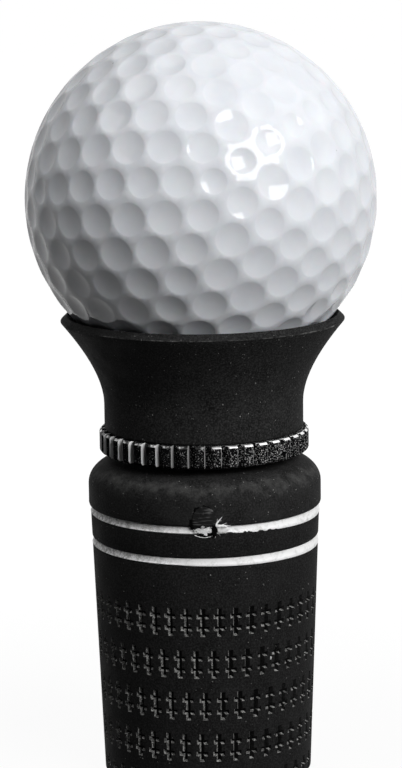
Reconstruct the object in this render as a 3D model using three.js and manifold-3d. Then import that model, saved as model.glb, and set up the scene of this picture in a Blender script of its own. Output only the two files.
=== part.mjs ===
// A golf ball seated in a suction-cup pickup that is screwed into the butt end of a golf grip.
// Millimetres, +Z up. The origin is the centre of the grip's cut lower end, and the ball is on top.

import * as THREE from "three";
import { ConvexHull } from "three/addons/math/ConvexHull.js";
import { mergeVertices } from "three/addons/utils/BufferGeometryUtils.js";
import Module from "manifold-3d";

// Golf ball. Its dimples lie in rows round two poles, and one pole faces the front.
const ballRadius = 21.335;
const dimpleDepth = 0.26;
const dimpleWidthShare = 0.94;
const cornerDimpleShare = 0.78;
const dimpleSides = 10;
const foldCount = 5;
const capRowCount = 6;
const beltRowCount = 4;
const capReach = THREE.MathUtils.degToRad(63.4);
const spreadSteps = 250;
const spreadPower = 8;
const spreadStepShare = 0.01;
const poleTurn = THREE.MathUtils.degToRad(4.2);
const poleTilt = THREE.MathUtils.degToRad(78.3);
const poleSpin = THREE.MathUtils.degToRad(34.7);
const sameSpotShare = 1e-4;

// Suction cup, with its rim, its neck, and the floor that the screw goes through
const seatClearance = 0.3;
const sealAngle = THREE.MathUtils.degToRad(50);
const cupHeight = 14.2;
const lipWidth = 0.8;
const lipDrop = 0.77;
const neckRadius = 12.2;
const neckWall = 1.65;
const flareFootHeight = 3.1;
const cupFloor = 2.8;
const floorCorner = 0.6;
const cupFootChamfer = 0.2;

// Coin-edged ring. Its front tooth sits a little to the left.
const ringRadius = 12.85;
const ringThickness = 2.7;
const toothCount = 40;
const toothDepth = 0.75;
const toothTopShare = 0.54;
const toothFootShare = 0.6;
const toothTurn = THREE.MathUtils.degToRad(-2.2);
const ringChamfer = 0.25;

// Mounting screw and its washer
const screwLength = 19;
const shankRadius = 2;
const tipLength = 3;
const tipRadius = 0.5;
const headRadius = 4.4;
const headHeight = 1.9;
const headEdge = 0.7;
const screwClearance = 0.3;
const headWasherRadius = 5.6;
const headWasherThickness = 0.8;

// Friction washer between the ring and the grip
const frictionWasherRadius = 9;
const frictionWasherThickness = 0.8;
const runningGap = 0.1;

// Grip: end cap, sleeve and the two painted grooves
const stubLength = 39.2;
const capRadius = 14.3;
const capThickness = 5.7;
const shoulderWidth = 4;
const shoulderDrop = 3;
const capEdge = 0.3;
const ventChamfer = 0.3;
const ventClearance = 0.6;
const sleeveTopRadius = 14.1;
const sleeveCutRadius = 12.85;
const sleeveEdge = 0.2;
const grooveWidth = 0.82;
const grooveDepth = 0.4;
const grooveSpacing = 3.9;
const paintThickness = 0.2;
const paintGap = 0.05;

// Shaft and tape
const shaftRadius = 7.35;
const shaftWall = 0.65;
const shaftEndGap = 0.3;
const tapeThickness = 0.25;
const tapeGap = 0.1;

// How finely round forms are faceted: one facet to each tooth of the ring
const roundSides = toothCount;
const screwSides = 24;
const shoulderSteps = 6;
const flareSteps = 8;
const cornerSteps = 2;

// Heights of the stack, from the cut end up
const capTop = stubLength;
const capUnderside = capTop - capThickness;
const frictionWasherBottom = capTop + runningGap;
const ringBottom = frictionWasherBottom + frictionWasherThickness + runningGap;
const ringTop = ringBottom + ringThickness;
const cupBottom = ringTop;
const cupFloorTop = cupBottom + cupFloor;
const headUnderside = cupFloorTop + headWasherThickness;
const sealRadius = (ballRadius + seatClearance) * Math.sin(sealAngle);
const sealDrop = (ballRadius + seatClearance) * Math.cos(sealAngle);
const sealHeight = cupBottom + cupHeight;
const ballCentre = sealHeight + sealDrop;

const wasm = await Module();
wasm.setup();

// A closed mesh as a solid that can be cut and joined
function toSolid(geometry) {
  const bare = geometry.clone();
  bare.deleteAttribute("normal");
  bare.deleteAttribute("uv");
  const merged = mergeVertices(bare);
  const vertProperties = Float32Array.from(merged.attributes.position.array);
  const triVerts = Uint32Array.from(merged.index.array);
  return new wasm.Manifold(new wasm.Mesh({ numProp: 3, vertProperties, triVerts }));
}

// A cut solid back as a geometry
function toGeometry(solid) {
  const mesh = solid.getMesh();
  const geometry = new THREE.BufferGeometry();
  geometry.setAttribute("position", new THREE.BufferAttribute(mesh.vertProperties, 3));
  geometry.setIndex(new THREE.BufferAttribute(mesh.triVerts, 1));
  geometry.computeVertexNormals();
  return geometry;
}

// A profile of [radius, height] points turned about the Z axis. One that leaves the axis closes on itself.
function turn(profile, sides = roundSides) {
  const points = profile.map(([radius, height]) => new THREE.Vector2(radius, height));
  if (points[0].x > 0) {
    points.push(points[0].clone());
  }
  const geometry = new THREE.LatheGeometry(points, sides);
  geometry.rotateX(Math.PI / 2);
  return geometry;
}

// A flat washer or a plain tube
function turnTube(innerRadius, outerRadius, bottom, top) {
  return turn([[innerRadius, bottom], [outerRadius, bottom], [outerRadius, top], [innerRadius, top]]);
}

// Points along a curve in the profile's plane
function along(curve, steps) {
  return curve.getPoints(steps).map((point) => [point.x, point.y]);
}

// Points of a round edge between two directions, which are in degrees from straight outwards, up being 90
function roundEdge(radius, height, width, rise, fromDegrees, toDegrees, steps) {
  const from = THREE.MathUtils.degToRad(fromDegrees);
  const to = THREE.MathUtils.degToRad(toDegrees);
  return along(new THREE.EllipseCurve(radius, height, width, rise, from, to, toDegrees < fromDegrees), steps);
}

// Directions of the dimples, with their pole along Z. Each row round a pole has five more dimples than the
// last, and belts of full rows lie between the two caps. The dimples at the poles and at the caps' corners
// have only five neighbours, where the others have six. All are then pushed apart, a little at a time, to an
// even spacing.
function makeDimplePlaces() {
  const fullRow = foldCount * capRowCount;
  const lowerTurnShare = (beltRowCount + 1) / 2 / fullRow;
  const places = [];
  function addRow(fromPole, count, turnShare, cornerSpacing) {
    for (let k = 0; k < count; k += 1) {
      const around = (k / count + turnShare) * 2 * Math.PI;
      const direction = new THREE.Vector3(Math.cos(around), Math.sin(around), 0);
      direction.multiplyScalar(Math.sin(fromPole)).setZ(Math.cos(fromPole));
      places.push({ direction, isCorner: k % cornerSpacing === 0 });
    }
  }
  for (let row = 0; row <= capRowCount; row += 1) {
    const fromPole = (capReach * row) / capRowCount;
    const count = Math.max(foldCount * row, 1);
    const cornerSpacing = row === 0 || row === capRowCount ? capRowCount : Infinity;
    addRow(fromPole, count, 0, cornerSpacing);
    addRow(Math.PI - fromPole, count, lowerTurnShare, cornerSpacing);
  }
  for (let belt = 1; belt <= beltRowCount; belt += 1) {
    const fromPole = capReach + ((Math.PI - 2 * capReach) * belt) / (beltRowCount + 1);
    addRow(fromPole, fullRow, belt / 2 / fullRow, Infinity);
  }
  const spacing = Math.sqrt((4 * Math.PI) / places.length);
  for (let step = 0; step < spreadSteps; step += 1) {
    const pushes = places.map(({ direction }) => {
      const push = new THREE.Vector3();
      for (const other of places) {
        const away = direction.distanceTo(other.direction);
        if (away > 0) {
          const strength = spreadStepShare * (spacing / away) ** spreadPower;
          push.addScaledVector(direction, strength).addScaledVector(other.direction, -strength);
        }
      }
      return push.addScaledVector(direction, -push.dot(direction));
    });
    places.forEach(({ direction }, k) => direction.add(pushes[k]).normalize());
  }
  return places;
}

// The ball: each dimple is a ring of points on the sphere round a sunken centre, and the hull of all of them
// on the sphere gives the facets, also of the land between the dimples
function makeBall() {
  const places = makeDimplePlaces();
  const points = [];
  const sunk = new Set();
  for (const { direction, isCorner } of places) {
    let nearest = Math.PI;
    for (const other of places) {
      if (other.direction !== direction) {
        nearest = Math.min(nearest, direction.angleTo(other.direction));
      }
    }
    const reach = (nearest * dimpleWidthShare * (isCorner ? cornerDimpleShare : 1)) / 2;
    const side = new THREE.Vector3(direction.y, direction.z, direction.x).cross(direction).normalize();
    for (let k = 0; k < dimpleSides; k += 1) {
      const tilt = side.clone().applyAxisAngle(direction, (k / dimpleSides) * 2 * Math.PI);
      points.push(direction.clone().applyAxisAngle(tilt, reach));
    }
    sunk.add(direction);
    points.push(direction);
  }
  const hull = new ConvexHull().setFromPoints(points);
  const corners = [];
  for (const face of hull.faces) {
    for (const edge of [face.edge, face.edge.next, face.edge.next.next]) {
      const point = edge.head().point;
      const radius = sunk.has(point) ? ballRadius - dimpleDepth : ballRadius;
      corners.push(point.clone().multiplyScalar(radius));
    }
  }
  const geometry = new THREE.BufferGeometry().setFromPoints(corners);
  geometry.rotateZ(poleSpin).rotateX(poleTilt).rotateZ(poleTurn);
  geometry.translate(0, 0, ballCentre);
  return mergeVertices(geometry, ballRadius * sameSpotShare);
}

// The cup: one wall that flares from the neck to a bevelled lip, and a floor with the screw's hole. Both of
// the wall's faces rise to the lip at the slope that the ball has where it seals.
function makeCup() {
  const rimRadius = sealRadius + lipWidth;
  const rimHeight = sealHeight - lipDrop;
  const neckFoot = cupBottom + flareFootHeight;
  const innerNeck = neckRadius - neckWall;
  const innerFoot = cupFloorTop + floorCorner;
  const outerBend = rimHeight - (rimRadius - neckRadius) * Math.tan(sealAngle);
  const innerBend = sealHeight - (sealRadius - innerNeck) * Math.tan(sealAngle);
  const outerFlare = new THREE.QuadraticBezierCurve(
    new THREE.Vector2(neckRadius, neckFoot),
    new THREE.Vector2(neckRadius, outerBend),
    new THREE.Vector2(rimRadius, rimHeight),
  );
  const innerFlare = new THREE.QuadraticBezierCurve(
    new THREE.Vector2(sealRadius, sealHeight),
    new THREE.Vector2(innerNeck, innerBend),
    new THREE.Vector2(innerNeck, innerFoot),
  );
  const holeRadius = shankRadius + screwClearance;
  return turn([
    [holeRadius, cupBottom],
    [neckRadius - cupFootChamfer, cupBottom],
    [neckRadius, cupBottom + cupFootChamfer],
    ...along(outerFlare, flareSteps),
    ...along(innerFlare, flareSteps),
    [innerNeck - floorCorner, cupFloorTop],
    [holeRadius, cupFloorTop],
  ]);
}

// The ring: a toothed blank, turned down by a chamfer at both faces so that each tooth gets one flat facet
function makeRing() {
  const footRadius = ringRadius - toothDepth;
  const points = [];
  for (let tooth = 0; tooth < toothCount; tooth += 1) {
    const corners = [
      [footRadius, -toothFootShare / 2],
      [ringRadius, -toothTopShare / 2],
      [ringRadius, toothTopShare / 2],
      [footRadius, toothFootShare / 2],
    ];
    for (const [radius, share] of corners) {
      const angle = ((tooth + share) / toothCount) * 2 * Math.PI;
      points.push(new THREE.Vector2(radius * Math.cos(angle), radius * Math.sin(angle)));
    }
  }
  const outline = new THREE.Shape(points);
  const blank = new THREE.ExtrudeGeometry(outline, { depth: ringThickness, bevelEnabled: false });
  blank.translate(0, 0, ringBottom);
  const facetRadius = ringRadius / Math.cos(Math.PI / toothCount);
  const turned = turn([
    [shankRadius + screwClearance, ringBottom],
    [facetRadius - ringChamfer, ringBottom],
    [facetRadius, ringBottom + ringChamfer],
    [facetRadius, ringTop - ringChamfer],
    [facetRadius - ringChamfer, ringTop],
    [shankRadius + screwClearance, ringTop],
  ], toothCount);
  turned.rotateZ(Math.PI / toothCount);
  return toGeometry(toSolid(blank).intersect(toSolid(turned))).rotateZ(toothTurn);
}

// The screw: a domed pan head, a plain shank at the thread's core size, and a point
function makeScrew() {
  const tip = headUnderside - screwLength;
  const domeFoot = headUnderside + headEdge;
  return turn([
    [0, tip],
    [tipRadius, tip],
    [shankRadius, tip + tipLength],
    [shankRadius, headUnderside],
    [headRadius, headUnderside],
    ...roundEdge(0, domeFoot, headRadius, headHeight - headEdge, 0, 90, shoulderSteps),
  ], screwSides);
}

// The grip's end cap: a wide rounded shoulder, and the vent hole that the screw goes into
function makeCap() {
  const ventRadius = shankRadius + ventClearance;
  const shoulderRadius = capRadius - shoulderWidth;
  const shoulderFoot = capTop - shoulderDrop;
  return turn([
    [ventRadius, capUnderside],
    ...roundEdge(capRadius - capEdge, capUnderside + capEdge, capEdge, capEdge, -90, 0, cornerSteps),
    ...roundEdge(shoulderRadius, shoulderFoot, shoulderWidth, shoulderDrop, 0, 90, shoulderSteps),
    [ventRadius + ventChamfer, capTop],
    [ventRadius, capTop - ventChamfer],
  ]);
}

// The sleeve's outer radius at a height: a straight taper down to the cut end
function sleeveRadius(height) {
  const taper = (sleeveTopRadius - sleeveCutRadius) / capUnderside;
  return sleeveCutRadius + height * taper;
}

// The sleeve: its top step is the floor of the first groove, and the second groove is cut a little lower
function makeSleeve() {
  const boreRadius = shaftRadius + tapeGap + tapeThickness + tapeGap;
  const firstFoot = capUnderside - grooveWidth;
  const secondTop = capUnderside - grooveSpacing;
  const secondFoot = secondTop - grooveWidth;
  const firstFloor = sleeveRadius(firstFoot) - grooveDepth;
  const secondFloor = sleeveRadius(secondTop) - grooveDepth;
  return turn([
    [boreRadius, 0],
    [sleeveCutRadius, 0],
    [sleeveRadius(secondFoot - sleeveEdge), secondFoot - sleeveEdge],
    [sleeveRadius(secondFoot) - sleeveEdge, secondFoot],
    [secondFloor, secondFoot],
    [secondFloor, secondTop],
    [sleeveRadius(secondTop) - sleeveEdge, secondTop],
    [sleeveRadius(secondTop + sleeveEdge), secondTop + sleeveEdge],
    [sleeveRadius(firstFoot - sleeveEdge), firstFoot - sleeveEdge],
    [sleeveRadius(firstFoot) - sleeveEdge, firstFoot],
    [firstFloor, firstFoot],
    [firstFloor, capUnderside],
    [boreRadius, capUnderside],
  ]);
}

// Paint in a groove of the sleeve, a thin ring that stays below the rubber's surface
function makePaint(grooveTop, floorRadius) {
  const inner = floorRadius + paintGap;
  return turnTube(inner, inner + paintThickness, grooveTop - grooveWidth + paintGap, grooveTop - paintGap);
}

function makeUpperPaint() {
  return makePaint(capUnderside, sleeveRadius(capUnderside - grooveWidth) - grooveDepth);
}

function makeLowerPaint() {
  const top = capUnderside - grooveSpacing;
  return makePaint(top, sleeveRadius(top) - grooveDepth);
}

function makeTape() {
  const inner = shaftRadius + tapeGap;
  return turnTube(inner, inner + tapeThickness, 0, capUnderside - shaftEndGap);
}

function makeShaft() {
  return turnTube(shaftRadius - shaftWall, shaftRadius, 0, capUnderside - shaftEndGap);
}

function makeHeadWasher() {
  return turnTube(shankRadius + screwClearance, headWasherRadius, cupFloorTop, headUnderside);
}

function makeFrictionWasher() {
  const top = frictionWasherBottom + frictionWasherThickness;
  return turnTube(shankRadius + screwClearance, frictionWasherRadius, frictionWasherBottom, top);
}

const finishes = {
  glossWhite: { color: "#eeeeee", roughness: 0.15, metalness: 0 },
  blackRubber: { color: "#1c1c1c", roughness: 0.8, metalness: 0 },
  gripRubber: { color: "#232323", roughness: 0.75, metalness: 0 },
  darkChrome: { color: "#5c5e60", roughness: 0.3, metalness: 1 },
  zincSteel: { color: "#b9babb", roughness: 0.35, metalness: 1 },
  shaftChrome: { color: "#d2d3d4", roughness: 0.2, metalness: 1 },
  darkFibre: { color: "#2b2b2b", roughness: 0.6, metalness: 0 },
  linePaint: { color: "#f2f2f0", roughness: 0.5, metalness: 0 },
  paperTape: { color: "#d8c9a4", roughness: 0.8, metalness: 0 },
};

const pickup = new THREE.Group();

function addPiece(name, geometry, finish) {
  const mesh = new THREE.Mesh(geometry, new THREE.MeshStandardMaterial(finish));
  mesh.name = name;
  pickup.add(mesh);
}

addPiece("golf_ball", makeBall(), finishes.glossWhite);
addPiece("suction_cup", makeCup(), finishes.blackRubber);
addPiece("mounting_screw", makeScrew(), finishes.zincSteel);
addPiece("head_washer", makeHeadWasher(), finishes.zincSteel);
addPiece("coin_edge_ring", makeRing(), finishes.darkChrome);
addPiece("friction_washer", makeFrictionWasher(), finishes.darkFibre);
addPiece("grip_cap", makeCap(), finishes.gripRubber);
addPiece("upper_stripe", makeUpperPaint(), finishes.linePaint);
addPiece("grip_sleeve", makeSleeve(), finishes.gripRubber);
addPiece("lower_stripe", makeLowerPaint(), finishes.linePaint);
addPiece("grip_tape", makeTape(), finishes.paperTape);
addPiece("shaft_tube", makeShaft(), finishes.shaftChrome);

export default pickup;
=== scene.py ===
import math

import bmesh
import bpy
import numpy as np
from mathutils import Matrix, Vector, noise


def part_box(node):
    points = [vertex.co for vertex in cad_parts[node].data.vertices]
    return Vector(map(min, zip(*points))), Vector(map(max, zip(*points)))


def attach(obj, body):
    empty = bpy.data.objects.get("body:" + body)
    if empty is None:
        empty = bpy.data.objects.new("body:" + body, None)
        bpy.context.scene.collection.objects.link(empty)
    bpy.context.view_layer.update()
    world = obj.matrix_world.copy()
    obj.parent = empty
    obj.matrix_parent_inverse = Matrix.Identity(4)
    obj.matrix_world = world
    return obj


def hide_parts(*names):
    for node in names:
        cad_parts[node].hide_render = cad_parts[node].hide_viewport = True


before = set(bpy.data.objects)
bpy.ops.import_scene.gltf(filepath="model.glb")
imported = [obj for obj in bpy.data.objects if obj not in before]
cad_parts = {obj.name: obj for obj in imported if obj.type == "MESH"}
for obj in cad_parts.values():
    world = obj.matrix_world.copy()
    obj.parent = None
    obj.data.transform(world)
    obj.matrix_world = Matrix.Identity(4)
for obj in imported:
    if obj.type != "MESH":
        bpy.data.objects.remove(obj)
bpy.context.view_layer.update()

# Golf ball.
# A two-piece ball of standard size: a rubber core under a moulded ionomer cover, painted gloss white and
# clear-coated. It only rests on the cup's lip and lifts straight off.

BALL_LOW, BALL_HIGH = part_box("golf_ball")
BALL_CENTRE = (BALL_LOW + BALL_HIGH) / 2
BALL_RADIUS = min(BALL_HIGH - BALL_LOW) / 2
DIMPLE_DEPTH = 0.00031
DIMPLE_RADII = (0.00215, 0.00208, 0.002, 0.00193)
CORNER_DIMPLE_RADIUS = 0.0016
LEAST_LAND = 0.00016
DIMPLE_SIDES = 18
DIMPLE_RING_SHARES = (1.0, 0.92, 0.55)
FOLD_COUNT = 5
CAP_ROWS = 6
BELT_ROWS = 4
CAP_REACH = math.radians(63.4)
SPREAD_STEPS = 250
SPREAD_POWER = 8
SPREAD_STEP_SHARE = 0.01
POLE_TURN = math.radians(4.2)
POLE_TILT = math.radians(78.3)
POLE_SPIN = math.radians(34.7)


def add_dimple_row(places, from_pole, count, turn_share, corner_spacing):
    """One row round the pole, as directions, with the rows' corner dimples marked."""
    for k in range(count):
        around = (k / count + turn_share) * 2 * math.pi
        flat = math.sin(from_pole)
        direction = (flat * math.cos(around), flat * math.sin(around), math.cos(from_pole))
        places.append((direction, k % corner_spacing == 0))


def dimple_places():
    """Rows of five more dimples each round two poles, belts of full rows between, all spread evenly."""
    full_row = FOLD_COUNT * CAP_ROWS
    lower_turn_share = (BELT_ROWS + 1) / 2 / full_row
    places = []
    for row in range(CAP_ROWS + 1):
        from_pole = CAP_REACH * row / CAP_ROWS
        count = max(FOLD_COUNT * row, 1)
        corner_spacing = CAP_ROWS if row in (0, CAP_ROWS) else math.inf
        add_dimple_row(places, from_pole, count, 0, corner_spacing)
        add_dimple_row(places, math.pi - from_pole, count, lower_turn_share, corner_spacing)
    for belt in range(1, BELT_ROWS + 1):
        from_pole = CAP_REACH + (math.pi - 2 * CAP_REACH) * belt / (BELT_ROWS + 1)
        add_dimple_row(places, from_pole, full_row, belt / 2 / full_row, math.inf)
    directions = np.array([direction for direction, _ in places])
    spacing = math.sqrt(4 * math.pi / len(places))
    for _ in range(SPREAD_STEPS):
        apart = directions[:, None] - directions[None]
        distance = np.linalg.norm(apart, axis=2)
        np.fill_diagonal(distance, math.inf)
        push = (apart * (spacing / distance)[..., None] ** SPREAD_POWER).sum(1) * SPREAD_STEP_SHARE
        push -= (push * directions).sum(1, keepdims=True) * directions
        directions += push
        directions /= np.linalg.norm(directions, axis=1, keepdims=True)
    gaps = np.linalg.norm(directions[:, None] - directions[None], axis=2)
    np.fill_diagonal(gaps, math.inf)
    room = (gaps.min(1) * BALL_RADIUS - LEAST_LAND) / 2
    turn = (Matrix.Rotation(POLE_TURN, 3, "Z") @ Matrix.Rotation(POLE_TILT, 3, "X")
            @ Matrix.Rotation(POLE_SPIN, 3, "Z"))
    sized = []
    for direction, free, (_, is_corner) in zip(directions, room, places):
        fitting = [radius for radius in DIMPLE_RADII if radius <= free] or [DIMPLE_RADII[-1]]
        sized.append((turn @ Vector(direction), CORNER_DIMPLE_RADIUS if is_corner else fitting[0]))
    return sized


def piece_from(form, name, sharp_degrees=35):
    """A finished bmesh as an object, facing outward, smooth but for edges sharper than the angle."""
    bmesh.ops.recalc_face_normals(form, faces=form.faces)
    mesh = bpy.data.meshes.new(name)
    form.to_mesh(mesh)
    form.free()
    mesh.shade_smooth()
    mesh.set_sharp_from_angle(angle=math.radians(sharp_degrees))
    piece = bpy.data.objects.new(name, mesh)
    bpy.context.scene.collection.objects.link(piece)
    return piece


def make_ball():
    """All dimples' rims, the hull over them for the land, and each rim's face pushed in as a dish."""
    form = bmesh.new()
    dimple_of = form.verts.layers.int.new("dimple")
    places = dimple_places()
    for number, (direction, radius) in enumerate(places):
        height = math.sqrt(BALL_RADIUS ** 2 - radius ** 2)
        facing = direction.to_track_quat("Z", "Y").to_matrix().to_4x4()
        seat = Matrix.Translation(direction * height) @ facing
        rim = bmesh.ops.create_circle(form, segments=DIMPLE_SIDES, radius=radius, matrix=seat)
        for vert in rim["verts"]:
            vert[dimple_of] = number
    bmesh.ops.convex_hull(form, input=form.verts)
    over_dimples = [f for f in form.faces if len({v[dimple_of] for v in f.verts}) == 1]
    dishes = bmesh.ops.dissolve_faces(form, faces=over_dimples)["region"]
    alike_of = {}
    for dish in dishes:
        alike_of.setdefault(places[dish.verts[0][dimple_of]][1], []).append(dish)
    for radius, alike in alike_of.items():
        depth = DIMPLE_DEPTH - BALL_RADIUS + math.sqrt(BALL_RADIUS ** 2 - radius ** 2)
        for outer, inner in zip(DIMPLE_RING_SHARES, DIMPLE_RING_SHARES[1:]):
            bmesh.ops.inset_individual(form, faces=alike, thickness=radius * (outer - inner),
                                       depth=-depth * (outer ** 2 - inner ** 2), use_even_offset=True)
        bmesh.ops.poke(form, faces=alike, offset=-depth * DIMPLE_RING_SHARES[-1] ** 2)
    bmesh.ops.translate(form, verts=form.verts, vec=BALL_CENTRE)
    return piece_from(form, "dimpled_ball", 60)


def linear(hex_colour):
    """An sRGB hex colour as linear red, green, blue and alpha."""
    channels = [int(hex_colour[k:k + 2], 16) / 255 for k in (1, 3, 5)]
    return [c / 12.92 if c <= 0.04045 else ((c + 0.055) / 1.055) ** 2.4 for c in channels] + [1]


def empty_tree(owner):
    """A new material, or the world, with its own nodes cleared away."""
    owner.use_nodes = True
    owner.node_tree.nodes.clear()
    return owner


def add_node(owner, kind, inputs=None, **settings):
    """One node with its settings, values and links."""
    tree = owner.node_tree
    node = tree.nodes.new("ShaderNode" + kind)
    for name, value in settings.items():
        setattr(node, name, value)
    for name, value in (inputs or {}).items():
        if isinstance(value, bpy.types.NodeSocket):
            tree.links.new(value, node.inputs[name])
        else:
            node.inputs[name].default_value = value
    return node


def new_material(name):
    """An empty material, and the place on the piece that its patterns are laid on."""
    material = empty_tree(bpy.data.materials.new(name))
    return material, add_node(material, "TexCoord").outputs["Object"]


def grains(place, size, detail, roughness=0.5):
    """What a noise node takes, for a pattern whose grains have this size in metres."""
    return {"Vector": place, "Scale": 1 / size, "Detail": detail, "Roughness": roughness}


def span(value, low, high, at_low, at_high):
    """What a range node takes: a value, the range that it runs through, and what that becomes."""
    return {"Value": value, "From Min": low, "From Max": high, "To Min": at_low, "To Max": at_high}


def relief(height, depth, strength):
    """What a bump node takes: a pattern, its depth in metres and its strength."""
    return {"Height": height, "Distance": depth, "Strength": strength}


# A colour mix node's sockets share their names with others, so they go by number
MIX_UNDER = 6
MIX_OVER = 7
MIX_RESULT = 2


def blend(share, under, over):
    """What a colour mix node takes: the share of an sRGB hex colour over what lies under it."""
    return {"Factor": share, MIX_UNDER: under, MIX_OVER: linear(over)}


def set_ramp(ramp, *ends):
    """Gives a colour ramp its two ends, each a position and an sRGB hex colour."""
    for element, (position, hex_colour) in zip(ramp.color_ramp.elements, ends):
        element.position = position
        element.color = linear(hex_colour)


def finish_material(material, surface):
    """Ends a material with its shader, which gets the surface's colours and values."""
    shader = add_node(material, "BsdfPrincipled", surface)
    add_node(material, "OutputMaterial", {"Surface": shader.outputs["BSDF"]})
    return material


# Clear-coated ionomer: white all over, with a hard, clear gloss, a faint unevenness of the paint and a few
# specks of dirt
def make_ball_cover():
    material, place = new_material("clear_coated_ionomer")
    paint = add_node(material, "TexNoise", grains(place, 0.004, 3))
    colour = add_node(material, "ValToRGB", {"Fac": paint.outputs["Fac"]})
    set_ramp(colour, (0.35, "#e4e7ed"), (0.65, "#ebeef3"))
    cells = add_node(material, "TexVoronoi", {"Vector": place, "Scale": 1 / 0.0025})
    chosen = add_node(material, "Math", {0: cells.outputs["Color"], 1: 0.8}, operation="GREATER_THAN")
    speck = add_node(material, "MapRange", span(cells.outputs["Distance"], 0.02, 0.05, 0.8, 0.0))
    dirt = add_node(material, "Math", {0: chosen.outputs["Value"], 1: speck.outputs["Result"]},
                    operation="MULTIPLY")
    cover = add_node(material, "Mix", blend(dirt.outputs["Value"], colour.outputs["Color"], "#4a4845"),
                     data_type="RGBA")
    haze = add_node(material, "TexNoise", grains(place, 0.0012, 4))
    rough = add_node(material, "MapRange", span(haze.outputs["Fac"], 0.3, 0.7, 0.3, 0.42))
    ripple = add_node(material, "TexNoise", grains(place, 0.0007, 2))
    bump = add_node(material, "Bump", relief(ripple.outputs["Fac"], 0.000004, 0.6))
    return finish_material(material, {
        "Base Color": cover.outputs[MIX_RESULT], "Roughness": rough.outputs["Result"],
        "Normal": bump.outputs["Normal"], "IOR": 1.5, "Specular IOR Level": 0, "Coat Weight": 0.6,
        "Coat Roughness": 0.03, "Subsurface Weight": 0.05, "Subsurface Scale": 0.0005})


ball = make_ball()
ball.data.materials.append(make_ball_cover())
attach(ball, "ball")
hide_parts("golf_ball")

# Suction cup.
# One moulding of soft black rubber with a flared mouth and a bevelled lip, which the ball is pushed into.
# Its floor is held down on the coin-edged ring by the screw.

CUP_LOW, CUP_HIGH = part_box("suction_cup")
SEAL_HEIGHT = CUP_HIGH.z
RIM_RADIUS = CUP_HIGH.x
LIP_WIDTH = 0.0008
LIP_DROP = 0.00077
SEAL_RADIUS = RIM_RADIUS - LIP_WIDTH
SEAL_SLOPE = math.tan(math.radians(50))
NECK_RADIUS = 0.0122
NECK_WALL = 0.00165
FLARE_FOOT = 0.0031
CUP_FLOOR = 0.0028
CUP_HOLE = 0.0023
CUP_CORNER = 0.0006
CUP_FOOT_ROUND = 0.0003
LIP_ROUND = 0.00012
FLARE_STEPS = 14
CUP_SIDES = 160
MERGE_DISTANCE = 1e-7
DUST_AND_SHEEN_FADE_SHARE = 1.1


def bend(start, control, end):
    """Points of a quadratic curve in the profile's plane."""
    points = []
    for k in range(FLARE_STEPS + 1):
        t = k / FLARE_STEPS
        points.append(tuple((1 - t) ** 2 * a + 2 * t * (1 - t) * b + t ** 2 * c
                            for a, b, c in zip(start, control, end)))
    return points


def turned(profile, sides, rounds=()):
    """A closed profile of (radius, height) points, some corners rounded, spun about Z. rounds holds
    (corner number, size) pairs."""
    form = bmesh.new()
    corners = [form.verts.new((radius, 0, height)) for radius, height in profile]
    for k, corner in enumerate(corners):
        form.edges.new((corner, corners[(k + 1) % len(corners)]))
    for number, size in rounds:
        bmesh.ops.bevel(form, geom=[corners[number]], offset=size, offset_type="OFFSET", affect="VERTICES",
                        segments=3, profile=0.5, material=-1)
    bmesh.ops.spin(form, geom=form.verts[:] + form.edges[:], cent=(0, 0, 0), axis=(0, 0, 1),
                   angle=2 * math.pi, steps=sides, use_merge=True)
    bmesh.ops.remove_doubles(form, verts=form.verts, dist=MERGE_DISTANCE)
    bmesh.ops.recalc_face_normals(form, faces=form.faces)
    return form


def make_cup():
    base = CUP_LOW.z
    floor = base + CUP_FLOOR
    inner_neck = NECK_RADIUS - NECK_WALL
    rim_height = SEAL_HEIGHT - LIP_DROP
    outer_bend = rim_height - (RIM_RADIUS - NECK_RADIUS) * SEAL_SLOPE
    inner_bend = SEAL_HEIGHT - (SEAL_RADIUS - inner_neck) * SEAL_SLOPE
    outer = bend((NECK_RADIUS, base + FLARE_FOOT), (NECK_RADIUS, outer_bend), (RIM_RADIUS, rim_height))
    inner = bend((SEAL_RADIUS, SEAL_HEIGHT), (inner_neck, inner_bend), (inner_neck, floor + CUP_CORNER))
    profile = [(CUP_HOLE, base), (NECK_RADIUS, base), *outer, *inner,
               (inner_neck - CUP_CORNER, floor), (CUP_HOLE, floor)]
    rim = 1 + len(outer)
    rounds = [(1, CUP_FOOT_ROUND), (rim, LIP_ROUND), (rim + 1, LIP_ROUND)]
    return piece_from(turned(profile, CUP_SIDES, rounds), "flared_cup", 50)
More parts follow.
